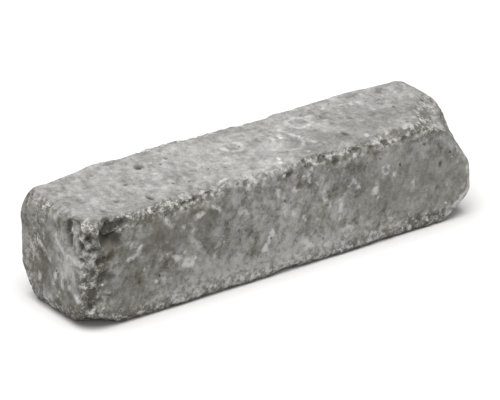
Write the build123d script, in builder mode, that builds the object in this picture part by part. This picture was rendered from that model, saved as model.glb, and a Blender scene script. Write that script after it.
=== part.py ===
from build123d import *

import os
from math import sin, sqrt, tau

# A tumbled concrete wall block. It is cast in one piece as a plain long block and then tumbled
# in a drum, which rounds its arrises unevenly, wears its corners down and knocks flakes off
# them. The two beds and the two long faces stay flat, so that blocks stack dry in a half bond.
# The block lies along X. Its front face looks towards -Y and its lower bed is at Z = 0, with
# the origin in the middle of that bed. All sizes are in millimetres.

# The block as it was moulded, which its flats still show.
length = 600.0
depth = 148.0
height = 147.0

# The four long arrises, and the slow swell and quicker ripple of their rounding.
arris_radius = {"front_bottom": 9.0, "back_bottom": 11.0, "back_top": 13.0, "front_top": 12.0}
least_radius = 2.5
swell = 1.6
swell_length = 130.0
ripple = 1.0
ripple_length = 48.0

# The rounding round each end, where it meets the front, the top, the back and the bottom.
left_end_radii = {"front": 23.0, "top": 16.0, "back": 10.0, "bottom": 19.0}
right_end_radii = {"front": 12.0, "top": 30.0, "back": 16.0, "bottom": 17.0}

# How much of the end's rounding is taken off the corners of its sections.
corner_relief = 0.6

# Extra rounding of each long arris at its end, and how far along the block that wear reaches.
left_wear = {
    "front_bottom": (24.0, 80.0),
    "back_bottom": (12.0, 45.0),
    "back_top": (24.0, 240.0),
    "front_top": (6.0, 40.0),
}
right_wear = {
    "front_bottom": (20.0, 60.0),
    "back_bottom": (10.0, 50.0),
    "back_top": (16.0, 220.0),
    "front_top": (18.0, 190.0),
}

# Flakes knocked off the corners: which corner, how far each reaches from it along the length,
# the depth and the height, and the radius of the shallow hollow that it left.
corner_flakes = {
    "right_front_top": ((1, -1, 1), (95.0, 130.0, 32.0), 1000.0),
    "right_front_top_steep": ((1, -1, 1), (46.0, 98.0, 78.0), 240.0),
    "right_front_bottom": ((1, -1, -1), (44.0, 70.0, 30.0), 250.0),
    "left_front_bottom": ((-1, -1, -1), (72.0, 44.0, 23.0), 300.0),
    "left_back_top": ((-1, 1, 1), (30.0, 42.0, 38.0), 300.0),
    "left_back_bottom": ((-1, 1, -1), (24.0, 32.0, 58.0), 300.0),
    "right_back_bottom": ((1, 1, -1), (40.0, 44.0, 34.0), 200.0),
}

# Smaller spalls out of the arrises: where each blow fell, as shares of the half sizes from the
# middle of the sharp block, the way it came from, how deep it bit and the hollow's radius.
spalls = {
    "beside_left_front_top": ((-0.88, -1.0, 0.93), (0.1, -0.85, 0.3), 9.0, 24.0),
    "left_end_top": ((-1.0, -0.6, 0.86), (-0.9, 0.0, 0.35), 7.5, 20.0),
    "left_end_front": ((-1.0, -1.0, 0.22), (-0.6, -0.65, 0.1), 13.5, 50.0),
    "front_top_middle": ((0.15, -1.0, 1.0), (0.05, -0.6, 0.65), 8.0, 55.0),
    "front_top_right": ((0.56, -1.0, 1.0), (0.0, -0.5, 0.75), 10.5, 70.0),
    "back_top_left": ((-0.5, 1.0, 1.0), (0.0, 0.6, 0.5), 7.0, 60.0),
    "front_bottom_middle": ((0.02, -1.0, -1.0), (0.0, -0.5, -0.6), 6.5, 70.0),
    "back_bottom_right": ((0.4, 1.0, -1.0), (0.0, 0.6, -0.5), 8.0, 60.0),
}

# The loft stands this proud of the four long sides before they are cut flat.
proud = 0.35

# The arrises in the order that a section runs through them.
ARRISES = ("front_bottom", "back_bottom", "back_top", "front_top")

# Sections near an end, as shares of its widest rounding, and the even spans between the ends.
END_SHARES = (0.0, 0.08, 0.25, 0.52, 0.9, 1.6)
SPANS = 22


def on_sharp_block(shares):
    """The point at these shares of the half sizes from the middle of the sharp block."""
    return Vector(shares[0] * length / 2, shares[1] * depth / 2, (1 + shares[2]) * height / 2)


def stations():
    """Places along X of the loft's sections, close together where the ends turn in."""
    left = [share * max(left_end_radii.values()) - length / 2 for share in END_SHARES]
    right = [length / 2 - share * max(right_end_radii.values()) for share in reversed(END_SHARES)]
    span = (right[0] - left[-1]) / SPANS
    return left + [left[-1] + span * step for step in range(1, SPANS)] + right


def rounding(distance, radius):
    """How far a rounded side stands back, at a distance in from the end plane."""
    if distance >= radius:
        return 0.0
    return radius - sqrt(radius**2 - (radius - distance) ** 2)


def worn(wear, arris, distance):
    """The extra radius of an arris at a distance from the end whose wear is given."""
    extra, reach = wear[arris]
    return extra * max(0.0, 1 - distance / reach) ** 2


def section_radius(x, arris, stand_back):
    """The radius of one long arris at a station, where the sides stand back that far."""
    turn = ARRISES.index(arris) * tau / 5
    wander = swell * sin(tau * x / swell_length + turn) + ripple * sin(tau * x / ripple_length + 2 * turn)
    wear = worn(left_wear, arris, x + length / 2) + worn(right_wear, arris, length / 2 - x)
    return max(least_radius, arris_radius[arris] + wander + wear - corner_relief * stand_back)


def flake_centre(corner, reach, hollow):
    """Centre of the round hollow that passes through a flake's three reaches from its corner."""
    slope = Vector(*(sign / far for sign, far in zip(corner, reach)))
    spread_squared = sum(far**2 for far in reach) / 3 - 1 / slope.length**2
    return on_sharp_block(corner) + slope.normalized() * (sqrt(hollow**2 - spread_squared) - 1 / slope.length)


with BuildPart() as block:
    # One section at each station, with the end's rounding on its sides and the wear on its corners.
    for x in stations():
        end_radii = left_end_radii if x < 0 else right_end_radii
        stand_back = {side: rounding(length / 2 - abs(x), radius) for side, radius in end_radii.items()}
        front = stand_back["front"] - depth / 2 - proud
        back = depth / 2 + proud - stand_back["back"]
        bottom = stand_back["bottom"] - proud
        top = height + proud - stand_back["top"]
        with BuildSketch(Plane.YZ.offset(x)):
            with BuildLine():
                FilletPolyline(
                    (front, bottom),
                    (back, bottom),
                    (back, top),
                    (front, top),
                    radius=[section_radius(x, arris, max(stand_back.values())) for arris in ARRISES],
                    close=True,
                )
            make_face()
    # Straight from section to section, so that each arris is a chain of worn facets.
    loft(ruled=True)
    # The moulded sides: two flat beds and two flat faces.
    Box(2 * length, depth, height, align=(Align.CENTER, Align.CENTER, Align.MIN), mode=Mode.INTERSECT)
    # The hollows where flakes were knocked off the corners.
    for corner, reach, hollow in corner_flakes.values():
        with Locations(flake_centre(corner, reach, hollow)):
            Sphere(hollow, mode=Mode.SUBTRACT)
    # The hollows of the smaller spalls along the arrises.
    for shares, blow, bite, hollow in spalls.values():
        with Locations(on_sharp_block(shares) + Vector(*blow).normalized() * (hollow - bite)):
            Sphere(hollow, mode=Mode.SUBTRACT)

block.part.label = "wall_block"
os.makedirs("parts", exist_ok=True)
export_step(block.part, "parts/wall_block.step")

size = block.part.bounding_box().size
print(f"wall_block {size.X:.1f} x {size.Y:.1f} x {size.Z:.1f} mm, {block.part.volume / 1e6:.2f} litres")
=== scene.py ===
"""Dress the tumbled concrete wall block and set up its studio.

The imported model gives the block's worn shape as a plain solid. This script lays a fine skin
over that solid, with the chips, pits and pores that tumbling leaves, and gives it a dusty grey
concrete. Sizes are in metres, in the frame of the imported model, or in millimetres where a
class says so.
"""

from __future__ import annotations

import logging
import math
from dataclasses import dataclass, field
from enum import Enum
from typing import Any, Iterable, Mapping, Sequence

import bpy
import numpy as np
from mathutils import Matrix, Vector
from mathutils.bvhtree import BVHTree

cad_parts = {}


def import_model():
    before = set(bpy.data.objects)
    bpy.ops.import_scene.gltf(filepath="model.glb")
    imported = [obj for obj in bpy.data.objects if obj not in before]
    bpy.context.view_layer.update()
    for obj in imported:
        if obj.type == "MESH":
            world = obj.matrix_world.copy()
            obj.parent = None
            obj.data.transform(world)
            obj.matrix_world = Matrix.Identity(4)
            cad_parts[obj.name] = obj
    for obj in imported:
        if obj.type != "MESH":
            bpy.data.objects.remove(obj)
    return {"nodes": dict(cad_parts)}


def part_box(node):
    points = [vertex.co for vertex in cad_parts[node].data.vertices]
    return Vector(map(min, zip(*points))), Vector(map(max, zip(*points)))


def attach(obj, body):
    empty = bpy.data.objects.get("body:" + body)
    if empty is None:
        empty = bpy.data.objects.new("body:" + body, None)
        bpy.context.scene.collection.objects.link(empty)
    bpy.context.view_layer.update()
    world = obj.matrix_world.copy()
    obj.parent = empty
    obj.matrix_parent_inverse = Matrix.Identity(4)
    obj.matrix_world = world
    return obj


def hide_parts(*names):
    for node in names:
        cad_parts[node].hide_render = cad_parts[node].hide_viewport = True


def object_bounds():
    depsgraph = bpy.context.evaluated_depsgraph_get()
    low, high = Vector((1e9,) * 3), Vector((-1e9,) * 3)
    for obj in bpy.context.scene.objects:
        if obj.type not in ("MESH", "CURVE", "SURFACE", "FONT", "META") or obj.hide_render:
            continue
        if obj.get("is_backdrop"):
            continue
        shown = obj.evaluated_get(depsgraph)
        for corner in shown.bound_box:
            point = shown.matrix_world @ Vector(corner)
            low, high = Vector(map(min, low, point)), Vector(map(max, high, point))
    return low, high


LOG = logging.getLogger("wall_block")
NODE = "wall_block"
MM = 0.001
TINY = 1e-12

Array = np.ndarray
Pair = tuple[float, float]
Triple = tuple[float, float, float]


class Wear(Enum):
    """The vertex attributes that tell the concrete how a place has worn, and how much shade is painted into
    its holes.
    """

    ARRIS = "arris_wear"
    BROKEN = "broken_face"
    # Painted shade in the pits, pores and cavities.
    PAINTED_HOLE_SHADE = "painted_hole_shade"
    SETTLED = "settled_dust"


def scattered(cells: Array, seed: int) -> Array:
    """Give every cell of a lattice its own steady number.

    Args:
        cells: Whole lattice places, with the three numbers of each in the last axis.
        seed: Sets one family of numbers apart from another.

    Returns:
        A number from 0 to 1 for each cell.
    """
    places = cells.astype(np.int64)
    mixed = places[..., 0] * 374761393 + places[..., 1] * 668265263 + places[..., 2] * 1440662683
    mixed = (mixed + seed * 1274126177) & 0xFFFFFFFF
    mixed = ((mixed ^ (mixed >> 13)) * 1274126177) & 0xFFFFFFFF
    mixed = ((mixed ^ (mixed >> 16)) * 2246822519) & 0xFFFFFFFF
    return (mixed ^ (mixed >> 15)) / 2.0**32


def eased(low: float, high: float, value: Array) -> Array:
    """Ease smoothly from 0 at low to 1 at high."""
    share = np.clip((value - low) / (high - low), 0.0, 1.0)
    return share * share * (3.0 - 2.0 * share)


@dataclass(frozen=True)
class Grain:
    """An uneven field that runs smoothly through space, its length in millimetres."""

    length: float
    seed: int
    octaves: int = 2

    def layer(self, places: Array, seed: int) -> Array:
        """Make one layer of the field.

        Args:
            places: Points in units of the layer's length.
            seed: The layer's seed.

        Returns:
            A value from -1 to 1 for each point.
        """
        cells = np.floor(places)
        inside = places - cells
        inside = inside * inside * (3.0 - 2.0 * inside)
        total = np.zeros(len(places))
        for corner in np.ndindex(2, 2, 2):
            weight = np.prod(np.where(np.array(corner) == 1, inside, 1.0 - inside), axis=1)
            total += weight * scattered(cells + np.array(corner), seed)
        return 2.0 * total - 1.0

    def at(self, points: Array) -> Array:
        """Read the field.

        Args:
            points: Places in metres.

        Returns:
            A value from about -1 to 1 for each point.
        """
        places = points / (MM * self.length)
        total = np.zeros(len(points))
        for octave in range(self.octaves):
            total += 0.5**octave * self.layer(places * 2.03**octave + 7.7 * octave, self.seed + octave)
        return total / (2.0 - 0.5 ** (self.octaves - 1)) * 1.4


@dataclass(frozen=True)
class Pull:
    """An uneven field that pulls places about, its length and reach in millimetres."""

    length: float
    seed: int
    octaves: int
    reach: float

    def at(self, points: Array) -> Array:
        """Return how far each point is pulled along each axis, in metres."""
        grains = [Grain(self.length, self.seed + 10 * axis, self.octaves) for axis in range(3)]
        return MM * self.reach * np.stack([grain.at(points) for grain in grains], axis=1)


@dataclass(frozen=True)
class Hollows:
    """Round hollows scattered through space, where a surface shows those that it cuts.

    Their spacing, radius and depth are in millimetres. They are cut in full on battered patches
    and in part elsewhere. A share of the pull makes their outlines ragged.
    """

    spacing: float
    chance: float
    radius: Pair
    depth: Pair
    seed: int
    pulled: float
    elsewhere: float = 1.0
    stretch: Triple = (1.0, 1.0, 1.0)
    steepness: float = 1.0

    def at(self, points: Array) -> Array:
        """Measure the hollows.

        Args:
            points: Places in metres.

        Returns:
            How deep each point lies below the unworn surface, in metres.
        """
        places = points / (MM * self.spacing * np.array(self.stretch))
        home = np.floor(places)
        deepest = np.zeros(len(points))
        for step in np.ndindex(3, 3, 3):
            cells = home + np.array(step) - 1
            middle = cells + np.stack([scattered(cells, self.seed + axis) for axis in range(3)], axis=1)
            held = scattered(cells, self.seed + 3) < self.chance
            size = scattered(cells, self.seed + 4)
            radius = self.radius[0] + size * (self.radius[1] - self.radius[0])
            depth = self.depth[0] + size * (self.depth[1] - self.depth[0])
            away = np.linalg.norm((places - middle) * self.spacing, axis=1) / radius
            bowl = np.clip(1.0 - away**2, 0.0, 1.0) ** self.steepness
            deepest = np.maximum(deepest, held * depth * bowl)
        return MM * deepest

    def cut(self, points: Array, pull: Array, battered: Array) -> Array:
        """Measure them with ragged outlines, and fewer of them away from the blows."""
        share = self.elsewhere + (1.0 - self.elsewhere) * battered
        return share * self.at(points + self.pulled * pull)


@dataclass(frozen=True)
class Cavity:
    """One deep ragged hole, placed where the block has it, in millimetres."""

    place: Triple
    reach: Triple
    depth: float
    # How dark the cavity is painted, as painted shade in the hole.
    shade: float = 0.75
    # The least reach at which its outline is pulled about in full.
    pulled_in_full: float = 9.0

    def at(self, points: Array, pull: Array) -> Array:
        """Measure the cavity.

        Args:
            points: Places in metres.
            pull: How far a large cavity's outline is pulled about at each point.

        Returns:
            How far into the cavity each point lies, from 0 at its rim to 1.
        """
        pulled = points + pull * min(1.0, min(self.reach) / self.pulled_in_full) ** 2
        away = np.linalg.norm((pulled - MM * np.array(self.place)) / (MM * np.array(self.reach)), axis=1)
        return np.clip(1.0 - away**2, 0.0, 1.0) ** 0.5


@dataclass(frozen=True)
class Stretch:
    """A stretch of the block that wore otherwise than the rest, in millimetres."""

    start: Triple
    end: Triple
    reach: float
    amount: float = 1.0
    full_within: float = 0.3

    def at(self, points: Array) -> Array:
        """Measure how strongly the stretch is felt.

        Args:
            points: Places in metres.

        Returns:
            Its amount along the stretch, falling to 0 at its reach.
        """
        start = MM * np.array(self.start)
        run = MM * np.array(self.end) - start
        off = points - start
        along = np.clip(off @ run / (run @ run), 0.0, 1.0)
        away = np.linalg.norm(off - along[:, None] * run, axis=1)
        return self.amount * eased(1.0, self.full_within, away / (MM * self.reach))


@dataclass
class BlockSkin:
    """The block's visible surface: a fine net laid on the solid and worn by tumbling."""

    # The net's spacing near the edges, how far in that goes, and the spacing between.
    fine: float = 1.5 * MM
    fine_reach: float = 24.0 * MM
    coarse: Triple = (1.75 * MM, 3.3 * MM, 3.3 * MM)
    # How far inside the box the lines start along which the net comes down.
    core_inset: float = 46.0 * MM
    soften_rounds: int = 5
    unfold_rounds: int = 12
    # How a face stands to the block's side when it starts and when it fully counts as folded.
    folded: Pair = (0.15, -0.10)
    # The depths inside the box that tell a broken place, the turns that tell an arris and the
    # directions that hold dust, and how often each is then evened out.
    broken_depths: Pair = (4.0 * MM, 9.0 * MM)
    broken_rounds: int = 6
    arris_turns: Pair = (0.010, 0.12)
    arris_rounds: int = 8
    upward: Pair = (0.5, 0.95)
    upward_rounds: int = 6
    # How much broken places and blows count as edge, and how much less broken places chip.
    broken_edge: float = 0.8
    blow_edge: float = 0.7
    broken_spared: float = 0.4
    # How deep the slow unevenness goes, and the grain on flats, arrises and broken places.
    unevenness: float = 0.35 * MM
    flat_grain: float = 0.12 * MM
    arris_grain: float = 0.8 * MM
    broken_grain: float = 0.7 * MM
    cavity_grain: float = 0.3
    # The darkest painted shade in a pit, and the depth at which a pit gets it.
    pit_shade: float = 0.75
    dark_depth: float = 3.5 * MM
    rise: Grain = Grain(95, seed=11)
    tooth: Grain = Grain(8, seed=23, octaves=3)
    patches: Grain = Grain(42, seed=31)
    patch_levels: Pair = (-0.5, 0.6)
    ragged: Pull = Pull(13, seed=101, octaves=3, reach=4.5)
    crumbled: Pull = Pull(5, seed=131, octaves=2, reach=1.6)
    large_chips: Hollows = Hollows(
        24, 0.55, (8, 17), (0.9, 2.6), seed=41, pulled=0.5, elsewhere=0.35, stretch=(1.5, 1, 1)
    )
    small_chips: Hollows = Hollows(10, 0.7, (3.2, 6.5), (0.8, 2.2), seed=53, pulled=0.5, elsewhere=0.4)
    pits: Hollows = Hollows(
        7.5, 0.42, (1.9, 4), (1.1, 3), seed=67, pulled=0.4, elsewhere=0.25, steepness=0.7
    )
    pores: Hollows = Hollows(26, 0.22, (2.4, 4), (1, 2.4), seed=79, pulled=0.4, steepness=0.7)
    cavities: tuple[Cavity, ...] = (
        Cavity((-300, -32, 130), (10, 5.5, 14), 8, 1), Cavity((-300, -40, 116), (9, 4.5, 13), 7.5, 0.9),
        Cavity((-298, -53, 130), (9, 5, 12), 7.5, 0.9), Cavity((-296, -60, 113), (9, 5.5, 10), 6.5, 0.85),
        Cavity((-290, -68, 124), (8, 7, 8), 6), Cavity((-284, -70, 108), (8, 8, 6), 5),
        Cavity((-264, -74, 124), (17, 13, 17), 11, 1), Cavity((-254, -74, 116), (12, 10, 11), 8, 0.95),
        Cavity((-247, -74, 137), (14, 8, 7), 6, 0.9), Cavity((-279, -73, 93), (9, 9, 8), 4.5),
        Cavity((-262, -74, 96), (7, 8, 6), 3, 0.6), Cavity((-289, -70, 78), (8, 8, 7), 3.5),
        Cavity((-270, -74, 70), (12, 9, 8), 3.5), Cavity((-284, -70, 52), (12, 9, 8), 4),
        Cavity((-289, -68, 34), (9, 9, 7), 3.5), Cavity((-146, 34, 147), (8.5, 8, 7), 4, 1),
        Cavity((-170, 63, 147), (11, 4.5, 5), 2.6, 0.6), Cavity((-187, -50, 147), (4, 8, 6), 2.2, 1),
        Cavity((-226, -34, 147), (5, 5.5, 6), 1.8, 0.75), Cavity((-104, 36, 147), (3.5, 4, 5), 3.5, 0.8),
        Cavity((-254, -47, 147), (4, 4, 5), 3.5, 0.8), Cavity((121, -36, 147), (4, 8, 6), 2.2, 1),
        Cavity((155, -1, 147), (4.5, 5.5, 6), 1.8, 0.6), Cavity((245, -74, 84), (3.2, 4, 5), 1.8, 0.85),
        Cavity((241, -74, 52), (4.5, 4, 3.4), 1.2, 0.5), Cavity((-132, -72, 140), (5, 7, 7), 3),
        Cavity((-58, -72, 139), (6, 7, 5), 3), Cavity((6, -72, 134), (6, 6, 5), 2.6),
        Cavity((36, -72, 137), (6, 7, 6), 2.8), Cavity((63, -70, 142), (7, 7, 7), 4),
        Cavity((80, -74, 132), (6, 6, 7), 3.2), Cavity((112, -72, 138), (7, 7, 5), 3),
        Cavity((160, -72, 136), (6, 7, 5), 3), Cavity((185, -72, 134), (8, 8, 6), 3.4),
        Cavity((205, -70, 136), (7, 8, 6), 3.4),
    )
    # Where blows fell, and how hard.
    battered: tuple[Stretch, ...] = (
        Stretch((-292, -66, 135), (-285, -70, 40), 34), Stretch((-260, -74, 135), (-110, -74, 140), 20),
        Stretch((40, -74, 140), (250, -74, 132), 18, 0.8),
        Stretch((230, -60, 135), (290, -20, 130), 45, 0.8), Stretch((240, -74, 10), (180, -74, 2), 20),
        Stretch((-300, 20, 140), (-300, 60, 10), 22), Stretch((300, 60, 20), (240, 74, 5), 26),
        Stretch((-120, 74, 145), (20, 74, 145), 18),
    )
    # Where the block stands proud of the solid, and where some is knocked off it, and how far.
    proud: tuple[Stretch, ...] = (
        Stretch((-270, 74, 147), (-190, 74, 147), 46, 4.2),
        Stretch((-180, 74, 147), (-90, 74, 147), 46, 2.6),
        Stretch((-110, 74, 147), (-20, 74, 147), 34, 1.4), Stretch((-300, 70, 147), (-300, 60, 130), 40, 2),
        Stretch((240, -60, 147), (300, 10, 120), 55, 1.8), Stretch((200, 74, 147), (290, 74, 147), 30, 1.4),
    )
    knocked_off: tuple[Stretch, ...] = (
        Stretch((-148, -74, 147), (-112, -74, 147), 26, 4.5),
        Stretch((80, -74, 147), (128, -74, 147), 26, 3.6),
        Stretch((180, -74, 147), (186, -74, 147), 20, 2.4), Stretch((42, 74, 147), (60, 74, 147), 24, 2.6),
    )
    # The box that holds the block, and the net: its points, and the four corners of each face.
    low: Array = field(init=False)
    high: Array = field(init=False)
    points: Array = field(init=False)
    quads: Array = field(init=False)

    def lines(self, axis: int) -> Array:
        """Space the net's lines along one axis, closer together near both ends.

        Args:
            axis: The axis, from 0 to 2.

        Returns:
            The place of each line.
        """
        low, high = self.low[axis], self.high[axis]
        near = round(self.fine_reach / self.fine)
        middle = round((high - low - 2 * self.fine_reach) / self.coarse[axis])
        rise = np.linspace(0.0, self.fine_reach, near + 1)
        inner = np.linspace(low + self.fine_reach, high - self.fine_reach, middle + 1)
        return np.concatenate([low + rise[:-1], inner, high - rise[:-1][::-1]])

    def lay_net(self) -> None:
        """Lay the net on the six sides of the box that holds the block."""
        lines = [self.lines(axis) for axis in range(3)]
        counts = tuple(len(line) for line in lines)
        on_side = np.zeros(counts, bool)
        for axis in range(3):
            ends: list[Any] = [slice(None)] * 3
            ends[axis] = [0, -1]
            on_side[tuple(ends)] = True
        index = np.full(counts, -1)
        index[on_side] = np.arange(on_side.sum())
        places = np.argwhere(on_side)
        self.points = np.stack([lines[axis][places[:, axis]] for axis in range(3)], axis=1)
        sides = []
        for axis in range(3):
            for end in (0, -1):
                sheet = np.moveaxis(index, axis, 0)[end]
                corners = [sheet[:-1, :-1], sheet[1:, :-1], sheet[1:, 1:], sheet[:-1, 1:]]
                outward = (end == -1) == (axis != 1)
                order = corners if outward else corners[::-1]
                sides.append(np.stack([corner.ravel() for corner in order], axis=1))
        self.quads = np.concatenate(sides)

    def drape(self, solid: bpy.types.Object) -> None:
        """Bring the net down onto the solid, along lines that fan out from its core.

        Args:
            solid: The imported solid.
        """
        corners = [vertex.co.copy() for vertex in solid.data.vertices]
        tree = BVHTree.FromPolygons(corners, [tuple(face.vertices) for face in solid.data.polygons])
        core = np.clip(self.points, self.low + self.core_inset, self.high - self.core_inset)
        way = self.points - core
        way /= np.linalg.norm(way, axis=1, keepdims=True)
        for place, (start, along) in enumerate(zip(core.tolist(), way.tolist())):
            found = tree.ray_cast(Vector(start), Vector(along))[0]
            self.points[place] = found if found is not None else tree.find_nearest(self.points[place])[0]

    def spread(self, values: Array, rounds: int) -> Array:
        """Even out values between neighbours in the net.

        Args:
            values: One row for each point.
            rounds: How often to do it.

        Returns:
            The evened values.
        """
        near = np.concatenate([self.quads[:, side] for side in range(4)])
        far = np.concatenate([self.quads[:, (side + 1) % 4] for side in range(4)])
        total = len(self.points)
        count = np.bincount(near, minlength=total).astype(float)
        held = values.reshape(total, -1)
        for _ in range(rounds):
            sums = [np.bincount(near, weights=column[far], minlength=total) for column in held.T]
            held = 0.5 * held + 0.5 * np.stack(sums, axis=1) / count[:, None]
        return held.reshape(values.shape)

    def normals(self) -> Array:
        """Return the outward direction at each point of the net."""
        corners = self.points[self.quads]
        faces = np.cross(corners[:, 2] - corners[:, 0], corners[:, 3] - corners[:, 1])
        total = np.zeros_like(self.points)
        for corner in self.quads.T:
            for axis in range(3):
                total[:, axis] += np.bincount(corner, weights=faces[:, axis], minlength=len(total))
        return total / np.linalg.norm(total, axis=1, keepdims=True)

    def push(self, way: Array, distance: Array) -> None:
        """Move each point some way in a direction, but never out of the box."""
        self.points = np.clip(self.points + way * distance[:, None], self.low, self.high)

    def reshape(self) -> None:
        """Stand proud of the solid, or knock some off it, along a few stretches."""
        rise = sum(stretch.at(self.points) for stretch in self.proud)
        fall = sum(stretch.at(self.points) for stretch in self.knocked_off)
        self.push(self.normals(), MM * (rise - fall))

    def wear(self) -> dict[Wear, Array]:
        """Find where the block is rounded and where it is broken, then carve what tumbling left.

        Returns:
            How far each kind of wear has gone at each point, and how much shade is painted into the holes,
            from 0 to 1.
        """
        out = self.normals()
        turned = 1.0 - np.abs(out).max(axis=1)
        inside = np.minimum(self.points - self.low, self.high - self.points).min(axis=1)
        broken = self.spread(eased(*self.broken_depths, inside), self.broken_rounds)
        arris = self.spread(eased(*self.arris_turns, turned), self.arris_rounds) * (1.0 - broken)
        pull = self.ragged.at(self.points)
        blows = np.max([stretch.at(self.points + pull) for stretch in self.battered], axis=0)
        shade = self.carve(out, arris, broken, blows, pull)
        return {
            Wear.ARRIS: arris,
            Wear.BROKEN: np.maximum(self.broken_edge * broken, blows),
            Wear.PAINTED_HOLE_SHADE: shade,
            Wear.SETTLED: self.spread(eased(*self.upward, out[:, 2]), self.upward_rounds),
        }

    def carve(
        self, out: Array, arris: Array, broken: Array, blows: Array, pull: Array
    ) -> Array:
        """Carve the grain, the chips and the holes, and work out the shade painted into the holes.

        Args:
            out: The outward direction at each point.
            arris: How far each is arris, from 0 to 1.
            broken: How far each is broken.
            blows: How hard each was hit.
            pull: How far outlines are pulled about there.

        Returns:
            How much painted shade the holes put at each point, from 0 to 1.
        """
        edge = np.clip(arris + self.broken_edge * broken + self.blow_edge * blows, 0.0, 1.0)
        battered = np.maximum(eased(*self.patch_levels, self.patches.at(self.points)), blows)
        rough = self.tooth.at(self.points)
        carved = self.unevenness * (1.0 + self.rise.at(self.points))
        carved += (self.flat_grain + self.arris_grain * edge + self.broken_grain * broken) * (1.0 + rough)
        for chips in (self.large_chips, self.small_chips):
            carved += edge * (1.0 - self.broken_spared * broken) * chips.cut(self.points, pull, battered)
        hollow = edge * self.pits.cut(self.points, pull, battered)
        hollow = np.maximum(hollow, (1.0 - edge) * self.pores.cut(self.points, pull, battered))
        # Painted shade in the pits and pores, darker as they deepen, and then in each cavity.
        shade = self.pit_shade * np.clip(hollow / self.dark_depth, 0.0, 1.0)
        pull = pull + self.crumbled.at(self.points)
        for cavity in self.cavities:
            inside = cavity.at(self.points, pull)
            deep = MM * cavity.depth * inside * (1.0 + self.cavity_grain * rough)
            hollow = np.maximum(hollow, deep)
            shade = np.maximum(shade, cavity.shade * inside)
        self.push(out, -(carved + hollow))
        self.unfold(out)
        return shade

    def unfold(self, out: Array) -> None:
        """Ease the few places where the carving has folded the net over.

        Args:
            out: The outward direction at each point before the carving.
        """
        for _ in range(self.unfold_rounds):
            facing = np.ones(len(self.points))
            for side in range(4):
                here, after, before = (self.quads[:, (side + step) % 4] for step in (0, 1, 3))
                corner = self.points[here]
                face = np.cross(self.points[after] - corner, self.points[before] - corner)
                face /= np.maximum(np.linalg.norm(face, axis=1, keepdims=True), TINY)
                np.minimum.at(facing, here, (face * out[here]).sum(axis=1))
            loose = np.clip(2.0 * self.spread(eased(*self.folded, facing), 2), 0.0, 1.0)
            self.points += loose[:, None] * (self.spread(self.points, 2) - self.points)

    def build(self, solid: bpy.types.Object, finish: bpy.types.Material) -> bpy.types.Object:
        """Make the skin and let it stand for the solid.

        Args:
            solid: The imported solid.
            finish: The concrete that it wears.

        Returns:
            The skin's object.
        """
        self.low, self.high = (np.array(corner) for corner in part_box(NODE))
        self.lay_net()
        self.drape(solid)
        self.points = self.spread(self.points, self.soften_rounds)
        self.reshape()
        worn = self.wear()
        mesh = bpy.data.meshes.new("concrete_skin")
        mesh.from_pydata(self.points.tolist(), [], self.quads.tolist())
        for kind, values in worn.items():
            layer = mesh.attributes.new(kind.value, "FLOAT", "POINT")
            layer.data.foreach_set("value", values.astype(np.float32))
        mesh.shade_smooth()
        mesh.materials.append(finish)
        skin = bpy.data.objects.new("concrete_skin", mesh)
        bpy.context.scene.collection.objects.link(skin)
        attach(skin, "root")
        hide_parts(NODE)
        return skin


@dataclass(frozen=True)
class Signal:
    """One output of a shader, on which Python's arithmetic adds the nodes that work it out."""

    shader: Shader
    socket: bpy.types.NodeSocket

    def worked(self, operation: str, first: Any, second: Any = 0.0) -> Signal:
        """Add a node that works out one sum."""
        return self.shader.node(
            "ShaderNodeMath", {"operation": operation}, {"Value": first, "Value_001": second}
        )

    def __add__(self, other: Any) -> Signal:
        """Add a value or a signal."""
        return self.worked("ADD", self, other)

    def __radd__(self, other: Any) -> Signal:
        """Add this to a value."""
        return self.worked("ADD", other, self)

    def __sub__(self, other: Any) -> Signal:
        """Take away a value or a signal."""
        return self.worked("SUBTRACT", self, other)

    def __rsub__(self, other: Any) -> Signal:
        """Take this away from a value."""
        return self.worked("SUBTRACT", other, self)

    def __mul__(self, other: Any) -> Signal:
        """Multiply by a value or a signal."""
        return self.worked("MULTIPLY", self, other)

    def __rmul__(self, other: Any) -> Signal:
        """Multiply a value by this."""
        return self.worked("MULTIPLY", other, self)

    def size(self) -> Signal:
        """Drop the sign."""
        return self.worked("ABSOLUTE", self)

    def held(self) -> Signal:
        """Keep the signal between 0 and 1."""
        return self.worked("MINIMUM", self.worked("MAXIMUM", self, 0.0), 1.0)

    def beside(self, output: str) -> Signal:
        """Return another output of the same node."""
        return Signal(self.shader, self.socket.node.outputs[output])

    def eased(self, low: float, high: float) -> Signal:
        """Ease from 0 at low to 1 at high."""
        return self.shader.node(
            "ShaderNodeMapRange",
            {"interpolation_type": "SMOOTHSTEP"},
            {"Value": self, "From Min": low, "From Max": high, "To Min": 0.0, "To Max": 1.0},
        )


@dataclass(frozen=True)
class Pattern:
    """An uneven pattern: its largest patches in millimetres, its finer layers and its bend."""

    size: float
    detail: float = 3.0
    roughness: float = 0.55
    bend: float = 0.0


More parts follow.
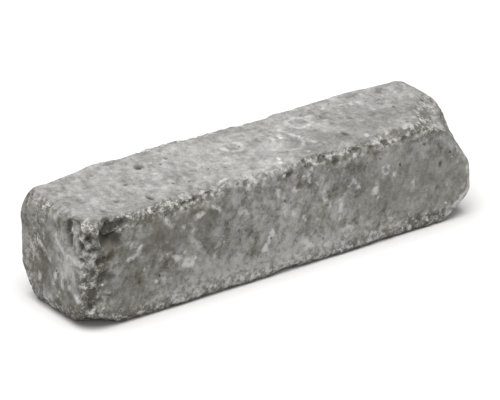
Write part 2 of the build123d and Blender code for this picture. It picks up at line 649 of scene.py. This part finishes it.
class Shader:
    """The nodes of one material or of the sky, added one call at a time."""

    def __init__(self, owner: bpy.types.Material | bpy.types.World) -> None:
        """Clear the owner's nodes for new ones.

        Args:
            owner: The material or the sky that they belong to.
        """
        owner.use_nodes = True
        self.tree = owner.node_tree
        self.tree.nodes.clear()

    def node(
        self,
        kind: str,
        settings: Mapping[str, Any] | None = None,
        sockets: Mapping[str, Any] | None = None,
        output: str | None = None,
    ) -> Signal:
        """Add one node.

        Args:
            kind: The node's type.
            settings: Its own settings, which are set first.
            sockets: A value or a signal for each named input.
            output: The output to return, or None for the first.

        Returns:
            The chosen output.
        """
        made = self.tree.nodes.new(kind)
        for name, value in (settings or {}).items():
            setattr(made, name, value)
        inputs = {socket.identifier: socket for socket in made.inputs}
        for name, value in (sockets or {}).items():
            if isinstance(value, Signal):
                self.tree.links.new(value.socket, inputs[name])
            else:
                inputs[name].default_value = value
        outputs = {socket.identifier: socket for socket in made.outputs}
        first = made.outputs[0] if made.outputs else None
        return Signal(self, outputs[output] if output else first)

    def place(self) -> Signal:
        """Return the place on the object, in metres."""
        return self.node("ShaderNodeTexCoord", output="Object")

    def drawn(self, place: Signal, turn: Sequence[float], stretch: Sequence[float]) -> Signal:
        """Turn a place, so that what is read there comes out turned and drawn out.

        Args:
            place: The place.
            turn: The turn about each axis, in degrees.
            stretch: How far it is drawn out along each turned axis.

        Returns:
            The new place.
        """
        angles = [math.radians(angle) for angle in turn]
        sockets = {"Vector": place, "Rotation": angles, "Scale": list(stretch)}
        return self.node("ShaderNodeMapping", {"vector_type": "TEXTURE"}, sockets)

    def noise(self, place: Signal, pattern: Pattern) -> Signal:
        """Read an uneven pattern at a place."""
        sockets = {
            "Vector": place,
            "Scale": 1.0 / (pattern.size * MM),
            "Detail": pattern.detail,
            "Roughness": pattern.roughness,
            "Distortion": pattern.bend,
        }
        return self.node("ShaderNodeTexNoise", {}, sockets)

    def vector(self, operation: str, first: Any, second: Any, output: str = "Vector") -> Signal:
        """Work out one sum on vectors."""
        sockets = {"Vector": first, "Vector_001": second}
        return self.node("ShaderNodeVectorMath", {"operation": operation}, sockets, output)

    def scaled(self, vector: Any, factor: Any) -> Signal:
        """Return a vector made longer or shorter by a factor."""
        return self.node("ShaderNodeVectorMath", {"operation": "SCALE"}, {"Vector": vector, "Scale": factor})

    def pulled(self, place: Signal, size: float, reach: float) -> Signal:
        """Pull a place about, so that what is read there gets a ragged outline.

        Args:
            place: The place.
            size: The size of the pulls' patches, in millimetres.
            reach: How far it is pulled, in millimetres.

        Returns:
            The new place.
        """
        sockets = {"Vector": place, "Scale": 1.0 / (size * MM), "Detail": 3.0, "Roughness": 0.6}
        pull = self.node("ShaderNodeTexNoise", {}, sockets, "Color")
        level = self.vector("SUBTRACT", pull, (0.5, 0.5, 0.5))
        return self.vector("ADD", place, self.scaled(level, 4.0 * reach * MM))

    def from_line(self, place: Signal, start: Vector, end: Vector) -> Signal:
        """Measure how far a place lies from a short line.

        Args:
            place: The place.
            start: Where the line starts.
            end: Where it ends.

        Returns:
            The distance, in metres.
        """
        off = self.vector("SUBTRACT", place, start)
        run = end - start
        along = self.vector("DOT_PRODUCT", off, run / run.length_squared, "Value").held()
        return self.vector("DISTANCE", off, self.scaled(run, along), "Value")

    def mixed(self, share: Any, under: Any, over: Any) -> Signal:
        """Lay one colour over another.

        Args:
            share: How much of it shows.
            under: The colour below, as a signal or three numbers.
            over: The colour above.

        Returns:
            The mixed colour.
        """
        under, over = (tone if isinstance(tone, Signal) else (*tone, 1.0) for tone in (under, over))
        sockets = {"Factor_Float": share, "A_Color": under, "B_Color": over}
        return self.node("ShaderNodeMix", {"data_type": "RGBA"}, sockets, "Result_Color")

    def marked(
        self, marks: Iterable[Mark | Ring], place: Signal, level: Any, under: Any, over: Any
    ) -> Signal:
        """Lay marks of one colour over another, one after the other.

        Args:
            marks: The marks.
            place: Where they are read.
            level: How strongly they all show.
            under: The colour below.
            over: The marks' colour.

        Returns:
            The marked colour.
        """
        for mark in marks:
            under = self.mixed(mark.on(self, place) * level, under, over)
        return under

    def worn(self, kind: Wear) -> Signal:
        """Return how far one kind of wear has gone, or how much shade is painted into the holes."""
        return self.node("ShaderNodeAttribute", {"attribute_name": kind.value}, {}, "Fac")

    def surfaced(self, sockets: Mapping[str, Any]) -> None:
        """End a material with one plain surface."""
        surface = self.node("ShaderNodeBsdfPrincipled", {}, sockets)
        self.node("ShaderNodeOutputMaterial", {}, {"Surface": surface})


@dataclass(frozen=True)
class Mark:
    """A scuff or a stain that runs from one place on the block to another, in millimetres."""

    start: Triple
    end: Triple
    reach: float
    strength: float
    full_within: float = 0.15

    def on(self, shader: Shader, place: Signal) -> Signal:
        """Return how strongly the mark shows at a place."""
        away = shader.from_line(place, Vector(self.start) * MM, Vector(self.end) * MM)
        reach = self.reach * MM
        return away.eased(reach, self.full_within * reach) * self.strength


class Side(Enum):
    """The sides with many marks: the axis each faces along and its place, in millimetres."""

    END = (0, -299)
    FRONT = (1, -74)
    TOP = (2, 147)

    def marks(self, *rows: Sequence[float]) -> tuple[Mark, ...]:
        """Lay marks on the side.

        Args:
            rows: The two ends on the other two axes, the reach and the strength of each.

        Returns:
            The marks.
        """
        axis, level = self.value
        made = []
        for *ends, reach, strength in rows:
            ends.insert(2 + axis, level)
            ends.insert(axis, level)
            made.append(Mark(tuple(ends[:3]), tuple(ends[3:]), reach, strength))
        return tuple(made)


@dataclass(frozen=True)
class Ring:
    """A pale ring that something round rubbed into a side, in millimetres."""

    middle: Triple
    radius: float
    width: float
    strength: float
    full_within: float = 0.2

    def on(self, shader: Shader, place: Signal) -> Signal:
        """Return how strongly the ring shows at a place."""
        away = shader.vector("DISTANCE", place, Vector(self.middle) * MM, "Value") - self.radius * MM
        width = self.width * MM
        return away.size().eased(width, self.full_within * width) * self.strength


@dataclass(frozen=True)
class Flecks:
    """Flecks of uneven size, scattered at a spacing in millimetres.

    A share of the places holds one. The largest radius and the soft edge are shares of the
    spacing. The flecks may be turned, in degrees, and drawn out along each turned axis.
    """

    spacing: float
    share: float
    largest: float = 0.46
    edge: float = 0.26
    turn: Triple = (0, 0, 0)
    stretch: Triple = (1, 1, 1)

    def on(self, shader: Shader, place: Signal) -> Signal:
        """Return 1 in a fleck and 0 outside."""
        drawn = {"Vector": shader.drawn(place, self.turn, self.stretch), "Scale": 1.0 / (self.spacing * MM)}
        away = shader.node("ShaderNodeTexVoronoi", {}, drawn, "Distance")
        chance = shader.node("ShaderNodeSeparateColor", {}, {"Color": away.beside("Color")}, "Red")
        return ((chance - (1.0 - self.share)) * (self.largest / self.share) - away).eased(0.0, self.edge)


@dataclass(frozen=True)
class ConcreteFinish:
    """Dusty grey concrete: a sandy body under pale laitance, with pits, stains, flecks and scuffs, and
    painted shade in its holes and a few other places.
    """

    body: Triple = (0.335, 0.325, 0.298)
    cool: Triple = (0.345, 0.339, 0.333)
    dust: Triple = (0.560, 0.553, 0.535)
    # The colour of damp stains, broken places and sunk grit, and of a few marks of painted shade.
    damp_and_shade: Triple = (0.150, 0.141, 0.115)
    shaded: Triple = (0.165, 0.160, 0.150)
    # The painted shade in the pits, pores, pinholes and cavities.
    hole_shade_tone: Triple = (0.050, 0.046, 0.036)
    chalk: Triple = (0.740, 0.735, 0.715)
    roughness: float = 0.88
    roughness_range: float = 0.2
    specular: float = 0.35
    # How strongly the grain is raised, and how high, in millimetres.
    bump: float = 0.8
    bump_height: float = 1.6
    # The uneven patterns, from slow clouds down to single grains.
    clouds: Pattern = Pattern(90, bend=0.5)
    thickness: Pattern = Pattern(32)
    blotches: Pattern = Pattern(26, 4.0, 0.6, 0.5)
    damp_patches: Pattern = Pattern(17, 4.0, 0.65)
    strokes: Pattern = Pattern(11)
    sweeps: Pattern = Pattern(9, 4.0, 0.6)
    mottle: Pattern = Pattern(8, 4.0, 0.7)
    grit: Pattern = Pattern(6.5, 4.0, 0.7)
    sand: Pattern = Pattern(2.8, 3.0, 0.75)
    # How coarsely outlines are pulled about, and how far, in millimetres.
    ragged: Pair = (6, 1.8)
    drifting: Pair = (24, 7)
    torn: Pair = (5, 1.6)
    # How strokes run on the upright sides and on the bed: the turn in degrees and the stretch.
    stroke_run: tuple[Triple, Triple] = ((0, 24, 8), (1, 1, 2.4))
    sweep_run: tuple[Triple, Triple] = ((0, 0, -14), (1, 2.3, 1))
    # The heights between which the crushed foot and its rim fade in, in millimetres.
    foot: Pair = (34, 8)
    rim: Pair = (13, 5)
    pinholes: Flecks = Flecks(10, 0.30, 0.26, 0.10)
    laitance: tuple[Flecks, ...] = (
        Flecks(12, 0.34, turn=(0, 24, 0), stretch=(1, 1, 1.9)),
        Flecks(15, 0.24, turn=(0, -38, 30), stretch=(1, 1, 2.6)),
        Flecks(8.5, 0.30),
    )
    stains_and_shade: tuple[Mark, ...] = (
        *Side.FRONT.marks(
            (-205, 112, -105, 116, 28, 0.62), (-143, 130, -135, 126, 15, 0.8),
            (-125, 92, -115, 72, 16, 0.45), (-240, 90, -230, 35, 44, 0.45), (190, 22, 260, 12, 28, 0.3),
            (120, 90, 165, 55, 38, 0.25), (-200, 95, -164, 85, 22, 0.8),
        ),
        *Side.TOP.marks(
            (60, -42, 240, -10, 44, 0.4), (-230, -60, -140, -70, 16, 0.3), (-102, -60, -80, -62, 16, 0.4),
        ),
        # Painted shade in the large cave beside the front left top corner.
        Mark((-270, -73, 124), (-256, -74, 122), 19, 0.9), Mark((-265, -74, 108), (-274, -72, 90), 14, 0.6),
        Mark((265, -45, 130), (290, -25, 108), 42, 0.24), Mark((-270, -74, 68), (-288, -68, 45), 18, 0.45),
        # The first mark here is painted shade at the foot of the front left corner.
        Mark((-285, -70, 18), (-240, -74, 6), 24, 0.7), Mark((-300, 12, 98), (-300, 22, 50), 31, 0.92),
        Mark((-297, -60, 19), (-297, -20, 21), 29, 1.3),
    )
    blooms: tuple[Mark, ...] = (
        *Side.FRONT.marks(
            (-160, 17, 80, 20, 31, 0.95), (-64, 110, -40, 88, 26, 0.6), (-22, 60, 18, 72, 22, 0.45),
            (0, 20, -4, 82, 32, 0.62), (-150, 70, -120, 45, 24, 0.3), (-240, 126, -234, 106, 14, 0.4),
        ),
        Mark((-300, -60, 108), (-300, 0, 112), 22, 0.32), Mark((-300, -43, 90), (-300, -34, 82), 15, 1),
        Mark((-300, -24, 112), (-300, -18, 100), 17, 0.62),
        Mark((-300, -56, 106), (-300, -34, 76), 24, 1.3), Mark((-50, -66, 147), (-5, -56, 147), 16, 0.8),
        Mark((-270, 20, 147), (50, 40, 147), 34, 0.14),
    )
    scuffs: tuple[Mark, ...] = (
        *Side.FRONT.marks(
            (-177, 76.7, -162, 65.5, 4.5, 0.8), (-164, 66.5, -148, 57.5, 7.5, 0.7),
            (-151, 58, -140, 54.5, 9, 1.1), (-18, 63.5, -19, 57.5, 6.5, 1.5),
            (-23, 55.5, -28.5, 45.5, 4.5, 0.7), (-28.5, 45.5, -31, 40.5, 6, 1.3),
            (-137, 114.5, -124, 117, 5.5, 1), (-140, 98, -136, 99, 4.5, 0.7),
            (-140, 85.5, -127, 74, 4.5, 0.5), (-100, 70, -108, 52, 5.5, 0.5), (-184, 51, -182, 40, 8, 0.4),
            (-235, 85, -224, 90.5, 5.5, 1.1), (-224, 90, -218, 97, 5, 1), (-238, 108, -226, 102, 5.5, 0.6),
            (36.6, 126, 36.6, 118, 5.5, 1), (144, 84, 140, 74, 7.5, 1), (-2.3, 96, -2.3, 86, 6, 0.9),
            (0, 87, 1, 82, 5.5, 0.9), (-0.6, 103, -0.6, 100, 4.5, 0.7), (14.2, 80, 14.2, 77.5, 5, 1),
            (14.5, 112, 18.5, 108.5, 6, 0.9), (-9.8, 118, -9.6, 109.5, 5, 1), (56, 100, 60, 97, 6, 0.6),
            (70, 77.5, 70, 73.5, 4.5, 0.7), (108, 101, 101, 92, 3.8, 0.7), (29, 38, 42, 26, 6.5, 0.85),
            (42, 35, 33, 26, 6, 0.7), (86, 75, 86.5, 64, 5.5, 1), (100, 40, 106, 36, 7.5, 0.7),
            (60, 26, 70, 20, 6.5, 0.7), (175, 18, 190, 16, 6.5, 0.7), (-70, 104, -50, 96, 5, 0.6),
            (-182, 125, -176, 118, 5.5, 0.7), (-108, 123, -99, 115, 4.5, 0.9),
        ),
        *Side.TOP.marks(
            (1.5, -60, 7.5, -50, 5.5, 1), (46.8, 0, 48, 6, 4.5, 0.8), (36.7, 0, 37, 4, 4.5, 0.7),
            (59, 20, 74, -36, 4.5, 0.55), (-95, -64, -75, -58, 4, 0.6),
        ),
        *Side.END.marks(
            (27, 89, 2, 75, 4.5, 0.7), (-7, 111, -32, 92, 5.5, 0.8), (-36, 92, -50, 90, 8.5, 0.85),
            (-12, 66, -3, 45, 5, 0.9), (-23, 64, -22, 46, 4.5, 0.8), (-36, 88, -30, 64, 5.5, 0.45),
            (-44, 88, -48, 62, 5.5, 0.45), (48, 80, 28, 64, 4.5, 0.35), (28, 45, 26.5, 43.5, 6, 0.8),
            (-37, 51, -37, 49, 5.5, 0.7),
        ),
        Mark((-292, -68, 30), (-290, -68, 27), 6, 1), Mark((-276, -72, 18), (-264, -72, 12), 6, 0.8),
        Mark((289.5, -73.8, 72.5), (292.5, -73.5, 53.1), 4.5, 0.9),
        Mark((292.5, -73.5, 53.1), (291.5, -73.5, 36.6), 5, 1.1),
        Mark((291.5, -73.5, 36.6), (269, -74, 20), 5.5, 1.5),
        Mark((-299, -48, 90), (-298, -58, 88), 6.5, 0.6), Mark((-298, -53, 43), (-298, -54, 41), 7, 1),
    )
    grime: tuple[Mark, ...] = (
        Mark((-271.5, -73.5, 95), (-283, -71.5, 64), 15, 0.95),
        Mark((-289.5, -70, 48), (-288, -70, 36), 11, 0.85),
    )
    evened: tuple[Mark, ...] = (
        Mark((160, -74, 85), (270, -74, 60), 62, 0.42),
    )
    rings: tuple[Ring, ...] = (
        Ring((92.6, 24.2, 147), 15, 5, 0.5), Ring((-17.8, 13, 147), 13, 5, 0.42),
        Ring((42, -15, 147), 24, 5, 0.25), Ring((157.6, -74, 99.9), 5.5, 2.6, 0.9),
        Ring((97, -74, 31), 6.5, 3, 0.5),
    )

    def build(self) -> bpy.types.Material:
        """Make the material.

        Returns:
            The concrete.
        """
        material = bpy.data.materials.new("tumbled_concrete")
        shader = Shader(material)
        place = shader.place()
        ragged = shader.pulled(place, *self.ragged)
        hollow = shader.worn(Wear.PAINTED_HOLE_SHADE)
        mottle = shader.noise(ragged, self.mottle)
        sand = shader.noise(place, self.sand)
        pinholes = self.pinholes.on(shader, ragged)
        tone = self.body_tone(shader, place, mottle, sand)
        tone = self.stained(shader, place, mottle, tone)
        tone = self.crushed(shader, place, ragged, tone)
        tone = self.scuffed(shader, place, ragged, mottle, tone)
        # Painted shade in the pinholes and in the holes carved into the skin.
        dark = (pinholes * 0.7 + hollow * (0.55 + mottle * 0.75)).held()
        sockets = {
            "Base Color": shader.mixed(dark, tone, self.hole_shade_tone),
            "Roughness": self.roughness + (mottle - 0.5) * self.roughness_range,
            "Specular IOR Level": self.specular,
            "Normal": self.relief(shader, mottle, sand, pinholes),
        }
        shader.surfaced(sockets)
        return material

    def body_tone(self, shader: Shader, place: Signal, mottle: Signal, sand: Signal) -> Signal:
        """Mix the concrete's own colour from slow clouds down to single grains.

        Args:
            shader: The concrete's nodes.
            place: The place on the block.
            mottle: The coarse pattern.
            sand: The fine pattern.

        Returns:
            The colour.
        """
        settled = shader.worn(Wear.SETTLED)
        clouds = shader.noise(place, self.clouds)
        blotches = shader.noise(place, self.blotches)
        strokes = shader.noise(shader.drawn(place, *self.stroke_run), self.strokes)
        sweeps = shader.noise(shader.drawn(place, *self.sweep_run), self.sweeps)
        shade = 0.5 + (clouds - 0.5) * 0.7 + (sand - 0.5) * 0.9
        shade = shade + (blotches - 0.5) * (1.7 - settled * 0.5) + (mottle - 0.5) * (1.7 - settled * 0.7)
        shade = shade + (strokes - 0.5) * (1.0 - settled) * 1.2 + (sweeps - 0.5) * settled * 1.1
        cast = (clouds.eased(0.58, 0.42) * 0.5 + settled * 0.8).held()
        tone = shader.mixed(cast, self.body, self.cool)
        dark = shader.mixed(settled, self.damp_and_shade, self.shaded)
        tone = shader.mixed((1.0 - shade * 2.0).held(), tone, dark)
        return shader.mixed((shade * 2.0 - 1.0).held(), tone, self.dust)

    def stained(self, shader: Shader, place: Signal, mottle: Signal, tone: Signal) -> Signal:
        """Even out some places, darken the stained ones and paint shade into a few, and whiten the dusty
        ones.

        Args:
            shader: The concrete's nodes.
            place: The place on the block.
            mottle: The coarse pattern.
            tone: The colour so far.

        Returns:
            The stained colour.
        """
        drifting = shader.pulled(place, *self.drifting)
        patchy = 0.45 + shader.noise(place, self.damp_patches).eased(0.36, 0.60) * 0.55
        speckled = 0.35 + mottle.eased(0.42, 0.58) * 0.65
        tone = shader.marked(self.evened, place, 1.0, tone, self.body)
        # Stains, and a few marks of painted shade.
        tone = shader.marked(self.stains_and_shade, drifting, patchy, tone, self.damp_and_shade)
        return shader.marked(self.blooms, drifting, speckled, tone, self.dust)

    def crushed(self, shader: Shader, place: Signal, ragged: Signal, tone: Signal) -> Signal:
        """Speckle the arrises, the broken places and the foot with crushed paste and bare sand.

        Args:
            shader: The concrete's nodes.
            place: The place on the block.
            ragged: The same place, pulled about.
            tone: The colour so far.

        Returns:
            The speckled colour.
        """
        broken = shader.worn(Wear.BROKEN)
        arris = shader.worn(Wear.ARRIS)
        height = shader.node("ShaderNodeSeparateXYZ", {}, {"Vector": place}, "Z")
        foot, rim = (height.eased(upper * MM, lower * MM) for upper, lower in (self.foot, self.rim))
        grit = shader.noise(ragged, self.grit)
        sunk = (arris * 0.70 + broken * 0.60 + foot * 0.62).held() * grit.eased(0.52, 0.40)
        raised = (arris * 0.30 + broken * broken * 0.60 + foot * 0.95 + rim * 0.60).held()
        tone = shader.mixed((broken * 0.25).held(), tone, self.damp_and_shade)
        tone = shader.mixed(sunk, tone, self.damp_and_shade)
        tone = shader.mixed(raised * grit.eased(0.50, 0.62), tone, self.chalk)
        return shader.marked(self.grime, ragged, grit.eased(0.62, 0.44), tone, self.damp_and_shade)

    def scuffed(self, shader: Shader, place: Signal, ragged: Signal, mottle: Signal, tone: Signal) -> Signal:
        """Lay the pale flecks, scuffs and rings that the drum left.

        Args:
            shader: The concrete's nodes.
            place: The place on the block.
            ragged: The same place, pulled about.
            mottle: The coarse pattern.
            tone: The colour so far.

        Returns:
            The scuffed colour.
        """
        torn = shader.pulled(ragged, *self.torn)
        kept = 0.30 + mottle.eased(0.40, 0.54) * 0.70
        thick = shader.noise(place, self.thickness).eased(0.40, 0.58) * 0.7 + 0.2
        thick = thick * (1.0 - shader.worn(Wear.SETTLED) * 0.6) * kept * 1.3
        for flecks in self.laitance:
            tone = shader.mixed((flecks.on(shader, torn) * thick).held(), tone, self.chalk)
        return shader.marked((*self.scuffs, *self.rings), torn, kept, tone, self.chalk)

    def relief(self, shader: Shader, mottle: Signal, sand: Signal, pinholes: Signal) -> Signal:
        """Raise the sandy grain and sink the pinholes.

        Args:
            shader: The concrete's nodes.
            mottle: The coarse pattern.
            sand: The fine pattern.
            pinholes: Where the pinholes are.

        Returns:
            The bumped direction of the surface.
        """
        height = mottle * 0.6 + sand * 0.4 - pinholes * 0.5
        sockets = {"Strength": self.bump, "Distance": self.bump_height * MM, "Height": height}
        return shader.node("ShaderNodeBump", {}, sockets)


@dataclass(frozen=True)
class FloorFinish:
    """A pale matt floor, which shows white and throws back less light than it shows."""

    shown: Triple = (0.90, 0.90, 0.90)
    thrown_back: Triple = (0.45, 0.45, 0.445)

    def build(self) -> bpy.types.Material:
        """Make the material.

        Returns:
            The floor's material.
        """
        material = bpy.data.materials.new("studio_floor")
        shader = Shader(material)
        seen = shader.node("ShaderNodeLightPath", output="Is Camera Ray")
        tone = shader.mixed(seen, self.thrown_back, self.shown)
        shader.surfaced({"Base Color": tone, "Roughness": 1.0, "Specular IOR Level": 0.0})
        return material


@dataclass(frozen=True)
class SkyFinish:
    """An even soft sky, which shows white behind the floor."""

    light: Triple = (1.0, 0.985, 0.955)
    strength: float = 0.35
    shown: Triple = (1.0, 1.0, 1.0)

    def build(self) -> bpy.types.World:
        """Make the sky.

        Returns:
            The world that holds it.
        """
        world = bpy.data.worlds.new("studio_sky")
        shader = Shader(world)
        seen = shader.node("ShaderNodeLightPath", output="Is Camera Ray")
        white = (seen + seen.beside("Is Glossy Ray") + seen.beside("Is Transmission Ray")).held()
        light = {"Color": (*self.light, 1.0), "Strength": self.strength}
        glow = shader.node("ShaderNodeBackground", {}, light)
        shown = {"Color": (*self.shown, 1.0), "Strength": 1.0}
        backdrop = shader.node("ShaderNodeBackground", {}, shown)
        both = {"Fac": white, "Shader": glow, "Shader_001": backdrop}
        sky = shader.node("ShaderNodeMixShader", {}, both)
        shader.node("ShaderNodeOutputWorld", {}, {"Surface": sky})
        return world


@dataclass
class Studio:
    """The floor, the soft light and the camera."""

    floor_reach: float = 20.0
    floor_gap: float = 0.3 * MM
    key_strength: float = 3.0
    key_from: Triple = (-0.21, -0.14, 0.95)
    key_spread: float = 55.0
    azimuth: float = -36.0
    elevation: float = 24.9
    distance: float = 6.32
    lens: float = 363.0
    sensor: float = 36.0
    sight: float = 100.0

    def lay_floor(self, finish: bpy.types.Material) -> None:
        """Lay the floor under the block.

        Args:
            finish: The floor's material.
        """
        reach = self.floor_reach
        corners = [(-reach, -reach), (reach, -reach), (reach, reach), (-reach, reach)]
        mesh = bpy.data.meshes.new("studio_floor")
        mesh.from_pydata([(x, y, -self.floor_gap) for x, y in corners], [], [(0, 1, 2, 3)])
        mesh.materials.append(finish)
        floor = bpy.data.objects.new("studio_floor", mesh)
        bpy.context.scene.collection.objects.link(floor)
        floor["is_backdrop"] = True

    def hang_lights(self) -> None:
        """Light the block softly from the upper left, with an even sky around it."""
        bpy.context.scene.world = SkyFinish().build()
        lamp = bpy.data.lights.new("soft_key", "SUN")
        lamp.energy = self.key_strength
        lamp.angle = math.radians(self.key_spread)
        key = bpy.data.objects.new("soft_key", lamp)
        key.rotation_mode = "QUATERNION"
        key.rotation_quaternion = Vector(self.key_from).to_track_quat("Z", "Y")
        bpy.context.scene.collection.objects.link(key)

    def stand_camera(self, middle: Vector) -> None:
        """Stand the camera where the photograph was taken from, aimed at the block.

        Args:
            middle: The middle of the block.
        """
        azimuth, elevation = math.radians(self.azimuth), math.radians(self.elevation)
        out = math.cos(elevation)
        back = Vector((math.sin(azimuth) * out, -math.cos(azimuth) * out, math.sin(elevation)))
        data = bpy.data.cameras.new("camera")
        data.lens = self.lens
        data.sensor_width = self.sensor
        data.clip_end = self.sight
        camera = bpy.data.objects.new("camera", data)
        camera.location = middle + back * self.distance
        camera.rotation_mode = "QUATERNION"
        camera.rotation_quaternion = (-back).to_track_quat("-Z", "Y")
        bpy.context.scene.collection.objects.link(camera)
        bpy.context.scene.camera = camera

    def build(self, middle: Vector) -> None:
        """Set up the whole studio.

        Args:
            middle: The middle of the block.
        """
        self.lay_floor(FloorFinish().build())
        self.hang_lights()
        self.stand_camera(middle)
        bpy.context.scene.view_settings.view_transform = "Standard"


def corners(bounds: Iterable[Vector]) -> list[list[float]]:
    """Return a box's two corners as plain lists."""
    return [[float(value) for value in corner] for corner in bounds]


def main() -> None:
    """Build the block's skin and its studio, and report each piece."""
    logging.basicConfig(level=logging.INFO, format="%(name)s: %(message)s")
    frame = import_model()
    solid_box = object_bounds()
    low, high = solid_box
    skin = BlockSkin().build(frame["nodes"][NODE], ConcreteFinish().build())
    LOG.info("%s: %d points, %d faces", skin.name, len(skin.data.vertices), len(skin.data.polygons))
    Studio().build((low + high) / 2)
    LOG.info("studio: floor, light and camera")


if __name__ == "__main__":
    main()
